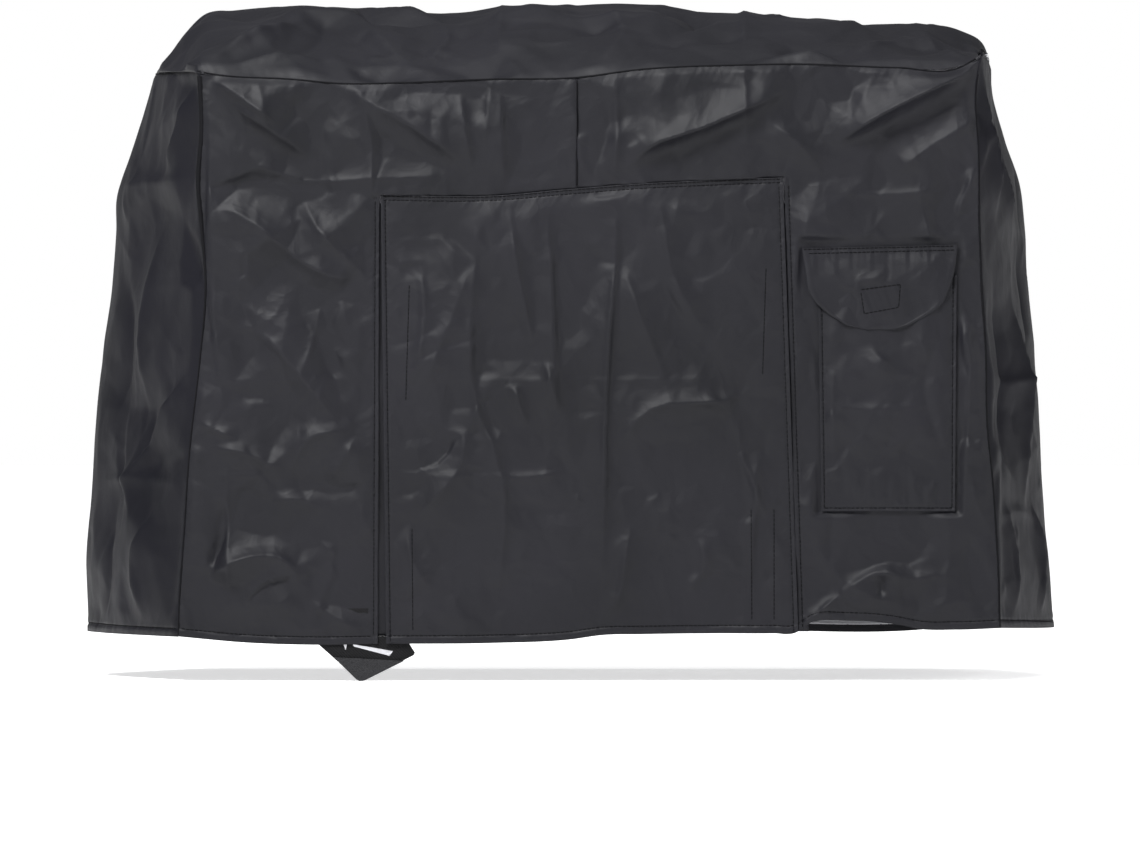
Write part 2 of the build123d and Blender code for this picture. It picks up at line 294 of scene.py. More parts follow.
def waves(along, seed, lengths=(8, 13, 21)):
    """An uneven ripple along a seam, where the thread draws the cloth in."""
    chance = np.random.default_rng(seed)
    return sum(np.sin(along * 2 * math.pi / n + chance.uniform(0, 6.3)) for n in lengths) / len(lengths)


def sewn(away, along, seed, groove=1.8, ripple=0.6):
    """What a seam does to the cloth beside it: a groove at the thread, and puckers that run off it."""
    puckers = ripple * waves(along + 0.5 * away, seed) * np.exp(-away / 12) * rounded(away / 4)
    return puckers - groove * np.exp(-away / 4)


def turned_edge(away, along, seed, width=9.0):
    """An edge that is folded in and sewn down: a little thicker as far as its stitching."""
    step = 0.7 * rounded((width + 1.2 - away) / 2.4)
    thread = -0.9 * np.exp(-((away - width) / 1.6) ** 2)
    pucker = waves(along + 0.7 * away, seed) * np.exp(-np.abs(away - width) / 7)
    return step + thread + 0.75 * pucker


def steps(start, end, step, close=(), tight=1.2, reach=5):
    """Places from start to end, a step apart, with tighter ones round each place in close."""
    places = list(np.linspace(start, end, max(2, round(abs(end - start) / step) + 1)))
    for mark in close:
        places = [p for p in places if abs(p - mark) > reach or p in (start, end)]
        fine = np.arange(mark - reach + tight, mark + reach, tight)
        places += [p for p in fine if start < p < end]
    return np.array(sorted(places))


def texture(tree, kind, **settings):
    """A procedural texture in the piece's own axes, its settings given by the names of its sockets."""
    place = tree.nodes.new("ShaderNodeTexCoord")
    pattern = tree.nodes.new("ShaderNodeTex" + kind)
    for socket, value in settings.items():
        pattern.inputs[socket.replace("_", " ").title()].default_value = value
    tree.links.new(place.outputs["Object"], pattern.inputs["Vector"])
    return pattern


def relief(tree, height, strength, distance, over=None):
    """Fine relief from a texture's value, laid over another relief if one is given."""
    bump = tree.nodes.new("ShaderNodeBump")
    bump.inputs["Strength"].default_value = strength
    bump.inputs["Distance"].default_value = distance
    tree.links.new(height, bump.inputs["Height"])
    if over is not None:
        tree.links.new(over.outputs["Normal"], bump.inputs["Normal"])
    return bump


def colour(tree, paint, value, first, last, start=0.0, end=1.0):
    """The shader's colour, which runs from first to last as a texture's value runs from start to end."""
    ramp = tree.nodes.new("ShaderNodeValToRGB")
    low, high = ramp.color_ramp.elements
    low.position, high.position = start, end
    low.color, high.color = (*first, 1.0), (*last, 1.0)
    tree.links.new(value, ramp.inputs["Fac"])
    tree.links.new(ramp.outputs["Color"], paint.inputs["Base Color"])


def finish(tree, paint, bump, roughness, shine):
    """The shader's relief, its roughness, and how much it reflects."""
    tree.links.new(bump.outputs["Normal"], paint.inputs["Normal"])
    paint.inputs["Roughness"].default_value = roughness
    paint.inputs["Specular IOR Level"].default_value = shine


def cloth_material(name, across, up, creasing=0.4, shine=0.16):
    """Coated cloth. Its weave runs along the two axes called across and up, creasing is how strongly its
    finest creases show, and shine is how much its coating reflects."""
    material, tree, paint = shader(name)
    nodes, links = tree.nodes, tree.links
    yarns = nodes.new("ShaderNodeMath")
    yarns.operation = "ADD"
    for n, axis in enumerate((across, up)):
        band = texture(tree, "Wave", scale=420.0, distortion=1.0, detail=2.0, detail_scale=0.3)
        band.bands_direction = axis
        links.new(band.outputs["Fac"], yarns.inputs[n])
    weave = relief(tree, yarns.outputs[0], 0.25, 0.0001)
    crinkle = texture(tree, "Noise", scale=34.0, detail=4.0, roughness=0.45)
    soft = relief(tree, crinkle.outputs["Fac"], 0.3, 0.0012, weave)
    place = nodes.new("ShaderNodeTexCoord")
    swirl = texture(tree, "Noise", scale=7.0, detail=3.0)
    warped = nodes.new("ShaderNodeMixRGB")
    warped.blend_type = "ADD"
    warped.inputs["Fac"].default_value = 0.16
    links.new(place.outputs["Object"], warped.inputs["Color1"])
    links.new(swirl.outputs["Color"], warped.inputs["Color2"])
    crease = texture(tree, "Voronoi", scale=17.0, detail=2.5, roughness=0.45)
    links.new(warped.outputs["Color"], crease.inputs["Vector"])
    creased = relief(tree, crease.outputs["Distance"], creasing, 0.0045, soft)
    cloud = texture(tree, "Noise", scale=5.0, detail=6.0)
    colour(tree, paint, cloud.outputs["Fac"], (0.0040, 0.0041, 0.0057), (0.0066, 0.0065, 0.0090), 0.3, 0.72)
    finish(tree, paint, creased, 0.55, shine)
    gloss = nodes.new("ShaderNodeMapRange")
    gloss.inputs["To Min"].default_value = 0.50
    gloss.inputs["To Max"].default_value = 0.60
    links.new(crinkle.outputs["Fac"], gloss.inputs["Value"])
    links.new(gloss.outputs["Result"], paint.inputs["Roughness"])
    return material


front_cloth = cloth_material("black_cloth_front", "X", "Z")
front_y = FRONT / MM

# The silver coating on the inside of the cloth
silver, tree, paint = shader("silver_coating")
grain = texture(tree, "Noise", scale=300.0, detail=4.0)
colour(tree, paint, grain.outputs["Fac"], (0.30, 0.30, 0.32), (0.48, 0.48, 0.50))
finish(tree, paint, relief(tree, grain.outputs["Fac"], 0.3, 0.0003), 0.38, 0.5)
paint.inputs["Metallic"].default_value = 0.55


def sheet(name, grid, rise, outward, cloth, keep=None, thickness=CLOTH, inside=silver, turned=None):
    """Cloth from a grid of places, raised along its own outer side, with its other face inside.
    keep says which squares of the grid are cloth, and turned which are turned in, black on both faces.
    Returns the piece, and its outer skin for sewing on."""
    normal = np.cross(np.gradient(grid, axis=1), np.gradient(grid, axis=0))
    normal /= np.linalg.norm(normal, axis=2, keepdims=True) + 1e-9
    flip = np.dot(normal[normal.shape[0] // 2, normal.shape[1] // 2], outward) < 0
    normal = -normal if flip else normal
    raised = grid + normal * rise[..., None]
    rows, columns = raised.shape[:2]
    number = np.arange(rows * columns).reshape(rows, columns)
    corners = [number[:-1, :-1], number[:-1, 1:], number[1:, 1:], number[1:, :-1]]
    faces = np.stack(corners[::-1] if flip else corners, axis=-1)
    keep = np.ones(faces.shape[:2], bool) if keep is None else keep
    double = None if turned is None else turned[:-1, :-1][keep]
    faces = faces[keep]
    used = np.unique(faces)
    renumber = np.zeros(rows * columns, int)
    renumber[used] = np.arange(len(used))
    places = raised.reshape(-1, 3)[used]
    faces = renumber[faces]
    piece = new_mesh(name, places * MM + np.array([0, 0, HEM]), faces, [cloth, inside, cloth, cloth])
    if double is not None:
        piece.data.polygons.foreach_set("material_index", np.where(double, 2, 0).astype(np.int32))
    solid = piece.modifiers.new("thickness", "SOLIDIFY")
    solid.thickness = thickness * MM
    solid.offset = -1.0
    solid.material_offset = 1
    skin = BVHTree.FromPolygons([tuple(p) for p in places], [tuple(int(i) for i in f) for f in faces])
    return piece, skin


def front_grid(seam, door):
    """Places over one front panel, and which squares are cloth: from the corner seam to the door's edge
    and on to the centre seam, and from the hem to the door's head and on to the top seam."""
    foot, head = door
    wide, far = abs(head - seam[0][1]), abs(CENTRE - head)
    beside = steps(0, wide, MESH, [wide - 6]) / wide
    above = steps(0, far, MESH)[1:] / far
    low = steps(0, DOOR_TALL, MESH, [9]) / DOOR_TALL
    high = steps(0, ABOVE_DOOR, MESH)[1:] / ABOVE_DOOR
    v = np.concatenate([low, 1 + high])[:, None]
    z = DOOR_TALL * np.minimum(v, 1) + ABOVE_DOOR * np.maximum(v - 1, 0)
    z = z + np.zeros(len(beside) + len(above))
    # An edge's x depends on the height and a hem's height on x, so they are worked out in turns
    for _ in range(4):
        edge = foot + (head - foot) * np.minimum(z[:, : len(beside)] / DOOR_TALL, 1)
        corner = bend(seam, z[:, : len(beside)])
        over = head + (CENTRE - head) * above + 0 * z[:, len(beside) :]
        x = np.hstack([corner + (edge - corner) * beside, over])
        head_z, hem_z = bend(HEAD_LINE, x), bend(HEM_LINE, x)
        z = np.where(v <= 1, hem_z + v * (head_z - hem_z), head_z + (v - 1) * (bend(TOP_SEAM, x) - head_z))
    keep = np.ones((len(z) - 1, x.shape[1] - 1), bool)
    keep[: len(low) - 1, len(beside) - 1 :] = False
    return x, z, keep


def front_rise(x, z, seam, door, several, seed):
    """How far one front panel's cloth stands out: its folds, small creases, seams and turned edges."""
    foot, head = door
    rise = 2.0 * folds(x, z, several)
    rise += crumple(x, z, 240, 1.5, seed) + facets(x, z, 42, 3.8, seed) + facets(x, z, 17, 1.1, seed + 7)
    door_away = np.where(z < bend(HEAD_LINE, x), np.abs(foot + (head - foot) * z / DOOR_TALL - x), 1e3)
    to_hem, to_seam = z - bend(HEM_LINE, x), np.abs(x - bend(seam, z))
    rise *= 0.35 + 0.65 * rounded(np.minimum(to_hem, door_away) / 26)
    rise *= rounded(to_seam / 12) * rounded((bend(TOP_SEAM, x) - z) / 10)
    rise += sewn(to_seam, z, seed + 1) + sewn(np.abs(bend(TOP_SEAM, x) - z), x, seed + 2)
    rise += np.where(z > bend(HEAD_LINE, x), sewn(np.abs(x - CENTRE), z, seed + 3), 0)
    rise += turned_edge(to_hem, x, seed + 4) + turned_edge(door_away, z, seed + 5, 5.0)
    return np.maximum(rise, -1.8)


x, z, keep = front_grid(LEFT_SEAM, LEFT_DOOR)
rise = front_rise(x, z, LEFT_SEAM, LEFT_DOOR, LEFT_FRONT_FOLDS, 11)
rise += BELLY * np.exp(-((x - BELLY_AT[0]) ** 2 + (z - BELLY_AT[1]) ** 2) / BELLY_WIDE**2) * rounded(z / 40)
grid = np.stack([x, np.full(x.shape, front_y), z], axis=2)
turned = z < bend(HEM_LINE, x) + HEM_TURN
facing = (0, -1, 0)
left_front, left_front_skin = sheet("left_front_panel", grid, rise, facing, front_cloth, keep, turned=turned)
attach(left_front, "cover")
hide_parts("front_left_panel")

# ---- Right front panel -------------------------------------------------------------------------
# The other L, on the right of the flap. It carries the pocket, and its hem rides up beside the flap,
# where the silver inside shows.
RIGHT_SEAM = [(-12, 488), (7, 487), (56, 486), (114, 483), (172, 479), (233, 473), (323, 471), (406, 466),
              (463, 464), (544, 463), (618, 460), (669, 469)]
RIGHT_DOOR = (258, 242)
RIGHT_FRONT_FOLDS = [
    ([(55, 516), (86, 548), (151, 573), (213, 600), (254, 618)], 9, 24, 6),
    ([(288, 548), (327, 573), (364, 594), (413, 618), (449, 636), (466, 659)], 13, 28, 7),
    ([(195, 699), (198, 614), (200, 540)], 2, 5, 8),
    ([(460, 581), (421, 561), (381, 532), (360, 512)], 5, 22, 14),
    ([(460, 532), (442, 487), (434, 463)], 4, 12, 12),
    ([(460, 524), (426, 487), (410, 450)], -4, 12, 12),
    ([(221, 581), (262, 553), (286, 520)], 4, 12, 12),
    ([(288, 31), (313, 52), (354, 71), (375, 65), (436, 71)], 6, 12, 18),
    ([(354, 71), (350, 40)], -4, 6, 8),
    ([(260, 11), (288, 31), (305, 46)], 6, 4, 12),
    ([(8, 493), (45, 493), (82, 506)], 3, 3, 8),
    ([(51, 640), (53, 560), (51, 512)], 3, 6, 14),
    ([(272, 330), (268, 250), (276, 180)], -3, 8, 8),
    ([(448, 400), (452, 300), (446, 160)], 3, 8, 10),
    ([(448, 120), (462, 60), (470, 20)], -4, 8, 12),
    ([(300, 500), (345, 498), (440, 503)], 1.5, 4, 8),
]


def inside_box(x, z, x_low, x_high, z_low, z_high, soft=8, foot=8):
    """One well inside a box and nothing outside it, changing over a short way in from its edges."""
    share = rounded((x - x_low) / soft) * rounded((x_high - x) / soft)
    return share * rounded((z - z_low) / foot) * rounded((z_high - z) / soft)


x, z, keep = front_grid(RIGHT_SEAM, RIGHT_DOOR)
rise = front_rise(x, z, RIGHT_SEAM, RIGHT_DOOR, RIGHT_FRONT_FOLDS, 31)
under_pocket = inside_box(x, z, 273, 446, 132, 450)
under_flap = inside_box(x, z, 254, 447, 370, 452, foot=20)
pressed = np.maximum(under_pocket, under_flap)
rise = rise * (1 - pressed) - 1.5 * pressed
grid = np.stack([x, np.full(x.shape, front_y), z], axis=2)
turned = z < bend(HEM_LINE, x) + HEM_TURN
right_front, right_front_skin = sheet(
    "right_front_panel", grid, rise, facing, front_cloth, keep, turned=turned
)
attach(right_front, "cover")
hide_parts("front_right_panel")

# ---- Back panel --------------------------------------------------------------------------------
# One plain piece of the same cloth, from corner seam to corner seam. Its hem shows silver from inside
# where the front rides up.
BACK_WIDE = 920
PANEL_TALL = 640
BACK_MESH = 4.3
BACK_HEM = [(-450, 0), (150, -1), (265, -7), (400, -7), (450, -3), (490, 0)]
BACK_FOLDS = [
    ([(-400, 610), (-340, 540), (-300, 440)], 7, 22, 12),
    ([(440, 620), (380, 560), (340, 450)], 8, 14, 24),
    ([(-60, 600), (-20, 480), (-40, 330)], 6, 20, 14),
    ([(160, 580), (140, 420), (170, 250)], -5, 18, 16),
    ([(-250, 300), (-200, 180), (-230, 40)], 6, 18, 18),
    ([(60, 260), (90, 140), (70, 20)], 5, 14, 16),
    ([(330, 260), (300, 130), (330, 20)], -6, 16, 16),
    ([(-430, 330), (-200, 326), (40, 330), (250, 324), (460, 330)], 2, 5, 9),
    ([(8, 20), (6, 300), (8, 610)], 2, 5, 9),
]

back_across = steps(0, 1, BACK_MESH / BACK_WIDE)
back_up = steps(0, PANEL_TALL, BACK_MESH, [9, PANEL_TALL - 9]) / PANEL_TALL
u, v = np.meshgrid(back_across, back_up)
z = v * PANEL_TALL
for _ in range(3):
    x = bend(LEFT_SEAM, z) + (bend(RIGHT_SEAM, z) - bend(LEFT_SEAM, z)) * u
    z = bend(BACK_HEM, x) + v * (bend(TOP_SEAM, x) - bend(BACK_HEM, x))
rise = 1.4 * folds(x, z, BACK_FOLDS) + crumple(x, z, 150, 1.4, 51) + facets(x, z, 60, 4.5, 51)
rise *= rounded((bend(TOP_SEAM, x) - z) / 12)
to_side = np.minimum(np.abs(x - bend(LEFT_SEAM, z)), np.abs(bend(RIGHT_SEAM, z) - x))
rise *= rounded(to_side / 12) * (0.3 + 0.7 * rounded(z / 30))
rise += sewn(to_side, z, 52) + sewn(bend(TOP_SEAM, x) - z, x, 53) + turned_edge(z - bend(BACK_HEM, x), x, 54)
grid = np.stack([x, np.full(x.shape, -front_y), z], axis=2)
turned = z < bend(BACK_HEM, x) + HEM_TURN
back, back_skin = sheet("back_panel_cloth", grid, rise, (0, 1, 0), front_cloth, turned=turned)
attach(back, "cover")
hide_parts("back_panel")

# ---- Side panels -------------------------------------------------------------------------------
# Each side is one piece that stands out in a soft upright fold at mid-depth. It is sewn to the front
# and the back at the corners, and it narrows towards the top.
LEFT_FOLD_LINE = [(0, -559), (108, -559), (146, -555), (208, -551), (276, -546), (330, -541), (393, -532),
                  (460, -527), (509, -524), (534, -515), (604, -493), (645, -481)]
RIGHT_FOLD_LINE = [(4, 561), (52, 557), (111, 552), (179, 547), (261, 544), (342, 537), (410, 530),
                   (469, 527), (516, 521), (565, 505), (608, 493), (655, 486)]
SIDE_TOP = {"left": (638, 645), "right": (662, 657)}  # height at the corners, and at mid-depth
SIDE_HEM = {"left": (-2, -1.5), "right": (8, 3)}  # height at the front corner, and at mid-depth
SIDE_BULGE = 1.35  # how roundly a side swells out from its corners
# Crests are (distance from the front seam towards the fold, height)
SIDE_FOLDS = {
    "left": [
        ([(6, 306), (60, 250), (120, 185), (160, 160)], 7, 8, 22),
        ([(4, 520), (70, 514), (150, 516), (260, 512)], 5, 10, 26),
        ([(4, 170), (100, 178), (240, 172)], 2, 5, 10),
        ([(20, 630), (50, 560), (90, 515)], 6, 18, 12),
        ([(100, 480), (130, 360), (110, 240)], 4, 16, 14),
        ([(200, 420), (180, 320), (210, 240)], -4, 16, 14),
        ([(60, 140), (90, 70), (70, 10)], 5, 16, 14),
        ([(180, 150), (170, 80), (190, 10)], -4, 14, 14),
        ([(350, 600), (390, 430), (370, 220)], 6, 20, 16),
        ([(480, 500), (460, 300), (490, 120)], -6, 20, 16),
    ],
    "right": [
        ([(10, 640), (40, 560), (60, 470)], 8, 14, 14),
        ([(60, 600), (110, 520), (150, 440)], 6, 12, 18),
        ([(40, 420), (80, 300), (60, 180)], -6, 14, 16),
        ([(120, 400), (150, 270), (130, 130)], 6, 14, 14),
        ([(5, 300), (80, 286), (180, 292), (270, 284)], 3, 6, 12),
        ([(190, 480), (210, 330), (190, 190)], -5, 14, 16),
        ([(40, 160), (70, 80), (50, 10)], 5, 14, 16),
        ([(5, 130), (90, 140), (200, 128)], 2, 5, 10),
        ([(170, 160), (200, 90), (180, 10)], 5, 12, 12),
        ([(360, 580), (390, 420), (370, 200)], 6, 20, 16),
        ([(480, 520), (460, 320), (490, 100)], -6, 20, 16),
    ],
}

# The sides are the same cloth as the fronts. It is given less shine here so that the sides show darker than
# the fronts: painted shade
shaded_side_cloth = cloth_material("black_cloth_side_shaded", "Y", "Z", 0.15, 0.07)
side_skin = {}
side_around = steps(-HALF_DEPTH, HALF_DEPTH, 4.0, [-HALF_DEPTH, HALF_DEPTH])
for hand, seam, fold_line, out, seed in (
    ("left", LEFT_SEAM, LEFT_FOLD_LINE, (-1, 0, 0), 61),
    ("right", RIGHT_SEAM, RIGHT_FOLD_LINE, (1, 0, 0), 71),
):
    around, up = np.meshgrid(side_around, steps(0, PANEL_TALL, 4.0, [9, PANEL_TALL - 5]) / PANEL_TALL)
    lift = 1 - np.abs(around / HALF_DEPTH) ** SIDE_BULGE
    corner_top, fold_top = SIDE_TOP[hand]
    corner_hem, fold_hem = SIDE_HEM[hand]
    hem = np.where(around < 0, corner_hem, 0) * (1 - lift) + fold_hem * lift
    z = hem + up * (corner_top + (fold_top - corner_top) * lift - hem)
    x = bend(seam, z) + (bend(fold_line, z) - bend(seam, z)) * lift
    grid = np.stack([x, around, z], axis=2)
    from_front = around + HALF_DEPTH
    top_away = corner_top + (fold_top - corner_top) * lift - z
    rise = 1.8 * folds(from_front, z, SIDE_FOLDS[hand]) + crumple(from_front, z, 120, 1.4, seed)
    rise += facets(from_front, z, 62, 5.0, seed) + facets(from_front, z, 26, 0.9, seed + 7)
    to_corner = HALF_DEPTH - np.abs(around)
    rise *= rounded(to_corner / 14) * rounded(top_away / 14) * (0.3 + 0.7 * rounded((z - hem) / 30))
    rise *= 0.25 + 0.75 * rounded(np.abs(around) / 60)
    rise += sewn(to_corner, z, seed + 1) + sewn(top_away, around, seed + 2)
    rise += turned_edge(z - hem, around, seed + 3)
    turned = z < hem + HEM_TURN
    side, side_skin[hand] = sheet(f"{hand}_shaded_side_cloth", grid, rise, out, shaded_side_cloth, turned=turned)
    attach(side, "cover")
    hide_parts(f"{hand}_side_panel")

# ---- Top panel ---------------------------------------------------------------------------------
# The roof of the hood, one piece from the front top seam over the ridge to the back. It slopes up to
# the ridge, and at its ends it drops to the side panels.
TOP_BULGE = 1.7  # how roundly it rises from its front and back seams to the ridge
# x and height at the front seam, x and height at the ridge
TOP_STATIONS = [
    (-421, 638, -481, 645), (-415, 636, -462, 670), (-409, 635, -445, 692), (-400, 634, -421, 714),
    (-370, 632, -388, 718), (-315, 629, -313, 720), (-253, 624, -258, 720), (-191, 625, -197, 717),
    (-140, 627, -133, 714), (-90, 629, -81, 721), (8, 631, 0, 726), (79, 640, 58, 726),
    (191, 645, 151, 718), (259, 646, 267, 706), (371, 642, 383, 698), (425, 642, 446, 691),
    (452, 648, 474, 680), (470, 660, 486, 656),
]
# Crests are (x, distance from the front seam back)
TOP_FOLDS = [
    ([(-415, 10), (-380, 60), (-330, 120), (-300, 180)], 6, 20, 12),
    ([(-405, 4), (-340, 30), (-260, 50)], 5, 18, 10),
    ([(-330, 20), (-290, 90), (-280, 200)], -4, 16, 12),
    ([(-80, 10), (-82, 140), (-78, 270), (-82, 500)], 2.5, 5, 10),
    ([(200, 10), (198, 140), (202, 270), (200, 520)], 2.5, 5, 10),
    ([(230, 20), (260, 60), (292, 40)], -5, 14, 14),
    ([(300, 30), (360, 80), (400, 160)], 6, 20, 14),
    ([(460, 10), (420, 60), (400, 130)], 5, 12, 18),
    ([(30, 10), (60, 90), (40, 190)], 4, 14, 16),
    ([(-180, 20), (-140, 110), (-160, 220)], 4, 16, 14),
    ([(100, 60), (150, 160), (120, 260)], -4, 18, 14),
    ([(-400, 270), (-200, 268), (60, 272), (300, 268), (450, 270)], 2, 10, 14),
    ([(-300, 320), (-240, 420), (-260, 520)], 5, 16, 16),
    ([(80, 330), (120, 430), (100, 530)], 5, 16, 16),
    ([(330, 320), (300, 430), (330, 530)], -5, 16, 16),
]

top_cloth = cloth_material("black_cloth_top", "X", "Y", 0.2)
columns = [np.array(c, float) for c in zip(*TOP_STATIONS)]
span = np.concatenate([[0], np.cumsum(np.hypot(np.diff(columns[2]), np.diff(columns[3])))])
at = steps(0, span[-1], 4.0)
front_x, front_z, ridge_x, ridge_z = [bend(np.c_[span, c], at) for c in columns]
depth = steps(-HALF_DEPTH, HALF_DEPTH, 4.0, [-HALF_DEPTH, HALF_DEPTH])[:, None]
lift = 1 - np.abs(depth / HALF_DEPTH) ** TOP_BULGE
x = front_x + (ridge_x - front_x) * lift
z = front_z + (ridge_z - front_z) * lift
grid = np.stack([x, depth + 0 * x, z], axis=2)
back_from = depth + HALF_DEPTH + 0 * x
rise = 1.8 * folds(x, back_from, TOP_FOLDS) + crumple(x, back_from, 120, 1.4, 81, lean=0.7)
rise += facets(x, back_from, 56, 5.5, 81, 0.9) + facets(x, back_from, 24, 1.3, 88)
end_away = np.minimum(at - at[0], at[-1] - at) + 0 * x
edge_away = HALF_DEPTH - np.abs(depth) + 0 * x
rise *= rounded(end_away / 12) * rounded(edge_away / 12) * (0.35 + 0.65 * rounded(np.abs(depth) / 70))
rise += sewn(end_away, back_from, 82) + sewn(edge_away, x, 83)
top, _ = sheet("top_panel_cloth", grid, rise, (0, 0, 1), top_cloth)
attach(top, "cover")
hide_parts("top_panel")

# ---- Seams -------------------------------------------------------------------------------------
# The panels are sewn together inside out, and their edges are bound together in a narrow black tape.
# Outside only a dark line shows, down in its groove.
BOUND_DEEP = 9.0
BOUND_THICK = 1.8
SEAM_SINK = 0.7  # how far the bound edge lies below the cloth on each side
# How much wider the dark binding is drawn in the upper part of the left front seam, as painted shade for the
# shadow of the fold there
SEAM_SHADE_WIDENING = 1.9

binding, tree, paint = shader("black_binding")
rib = texture(tree, "Noise", scale=700.0)
colour(tree, paint, rib.outputs["Fac"], (0.003, 0.003, 0.0035), (0.005, 0.005, 0.006))
finish(tree, paint, relief(tree, rib.outputs["Fac"], 0.5, 0.0003), 0.9, 0.06)


def bound_edge(name, node, path, out, swell=None):
    """A bound seam allowance along a path, standing into the hood away from the direction called out.
    swell is how much wider than usual it is at each place."""
    path = np.array(path, float)
    out = np.array(out, float) / np.linalg.norm(out)
    along = np.gradient(path, axis=0)
    along /= np.linalg.norm(along, axis=1, keepdims=True)
    side = np.cross(along, out)
    side /= np.linalg.norm(side, axis=1, keepdims=True)
    half = BOUND_THICK / 2
    section = [(-BOUND_DEEP, -half), (-BOUND_DEEP, half), (-SEAM_SINK - 0.4, half), (-SEAM_SINK, half / 2),
               (-SEAM_SINK, -half / 2), (-SEAM_SINK - 0.4, -half)]
    section = np.array(section)
    wider = (np.ones(len(path)) if swell is None else 1 + np.array(swell))[:, None, None]
    rings = path[:, None] + section[None, :, :1] * out + wider * section[None, :, 1:] * side[:, None]
    rings[:, :2] += 0.5 * waves(np.arange(len(path)) * 4.0, len(path))[:, None, None] * side[:, None]
    n = len(section)
    faces = [
        (r * n + c, r * n + (c + 1) % n, (r + 1) * n + (c + 1) % n, (r + 1) * n + c)
        for r in range(len(path) - 1)
        for c in range(n)
    ]
    last = (len(path) - 1) * n
    faces += [tuple(range(n))[::-1], tuple(range(last, last + n))]
    points = rings.reshape(-1, 3) * MM + np.array([0, 0, HEM])
    piece = new_mesh(name, points, faces, [binding])
    piece.modifiers.new("rounding", "BEVEL").width = 0.0002
    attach(piece, "cover")
    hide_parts(node)


for hand, seam, sign in (("left", LEFT_SEAM, -1), ("right", RIGHT_SEAM, 1)):
    for end, y in (("front", front_y), ("back", -front_y)):
        bottom = SIDE_HEM[hand][0] if end == "front" else 0
        path = [(bend(seam, h), y, h) for h in np.arange(bottom + 1.5, 634.0, 4.0)]
        # The seam at the left of the front is bulky in its upper part. There its dark binding is drawn wider
        # to stand for the shadow of the cloth folded over it: painted shade
        shade_widening = SEAM_SHADE_WIDENING if (hand, end) == ("left", "front") else 0.0
        shade_widths = [shade_widening * rounded((h - 300) / 260) for *_, h in path]
        corner = f"{hand}_{end}"
        bound_edge(f"{corner}_corner_binding", f"{corner}_seam", path, (sign, y / HALF_DEPTH, 0), shade_widths)
across = np.arange(-414.0, 462.0, 4.0)
for end, y in (("front", front_y), ("back", -front_y)):
    path = [(x, y, bend(TOP_SEAM, x)) for x in across]
    bound_edge(f"{end}_top_binding", f"{end}_top_seam", path, (0, y / HALF_DEPTH, 0.8))
for hand, seam, fold_line, sign in (
    ("left", LEFT_SEAM, LEFT_FOLD_LINE, -1),
    ("right", RIGHT_SEAM, RIGHT_FOLD_LINE, 1),
):
    corner_top, fold_top = SIDE_TOP[hand]
    lifts = [(y, 1 - abs(y / HALF_DEPTH) ** SIDE_BULGE) for y in np.arange(-279.0, 280.0, 3.0)]
    path = [
        (
            bend(seam, corner_top) + (bend(fold_line, fold_top) - bend(seam, corner_top)) * lift,
            y,
            corner_top + (fold_top - corner_top) * lift,
        )
        for y, lift in lifts
    ]
    bound_edge(f"{hand}_top_binding", f"{hand}_top_seam", path, (sign, 0, 0.7))
path = [(CENTRE, front_y, h) for h in np.arange(508.0, 628.0, 4.0)]
bound_edge("centre_binding", "centre_seam", path, (0, -1, 0))

# ---- Front flap --------------------------------------------------------------------------------
# A loose panel of the same cloth over the door opening, sewn on along its head with two rows, turned
# in and stitched down its sides, and hemmed. It hangs in front of the fronts and lifts up.
FLAP_LEFT = (-208, -214)  # x of its left edge, at the hem and at the head
FLAP_RIGHT = (258, 241)
FLAP_WIDE = 466
FLAP_TALL = 505
FLAP_PROUD = 1.8  # how far it hangs in front of the fronts
FLAP_FOLDS = [
    ([(-106, 471), (-96, 233), (-86, 213), (-84, -2)], 2.5, 4, 10),
    ([(-71, 500), (-57, 405), (-46, 352), (-40, 307)], 3.5, 5, 20),
    ([(-25, 495), (-20, 389), (-14, 245)], 3.5, 4, 16),
    ([(-106, 434), (-130, 368), (-155, 307), (-168, 245)], 4.5, 22, 20),
    ([(-63, 287), (-53, 250), (-46, 234)], 3, 4, 8),
    ([(-28, 312), (-12, 250)], 3, 5, 8),
    ([(-151, 217), (-135, 230), (-122, 226), (-122, 197), (-151, 155), (-182, 127)], 5, 14, 20),
    ([(-184, 127), (-178, 81), (-152, 48)], 3, 9, 9),
    ([(-81, 176), (-36, 180), (0, 186)], 1.5, 4, 8),
    ([(51, 512), (53, 455), (45, 345), (40, 238), (39, 131), (37, 56)], 4, 3, 12),
    ([(41, 197), (94, 256), (172, 265), (226, 283)], 5, 12, 18),
    ([(70, 131), (107, 180), (164, 205), (230, 213)], -5, 30, 16),
    ([(70, 131), (62, 81), (54, 40), (25, 11)], 4, 10, 10),
    ([(144, 114), (152, 81), (124, 40)], 3, 9, 9),
    ([(193, 271), (193, 205), (210, 164), (206, 114), (202, 15)], 2.5, 4, 8),
    ([(214, 205), (210, 168), (226, 122)], 2.5, 7, 7),
    ([(53, 434), (82, 356), (115, 270)], 4, 18, 16),
    ([(8, 493), (45, 493), (82, 506)], 3, 3, 8),
    ([(100, 505), (120, 400), (160, 330)], 3, 16, 14),
    ([(-208, 290), (0, 288), (240, 290)], 0.6, 3, 7),
    ([(-208, 180), (20, 180)], 0.6, 3, 7),
    ([(-170, 440), (-165, 360), (-180, 260)], 3, 10, 12),
]


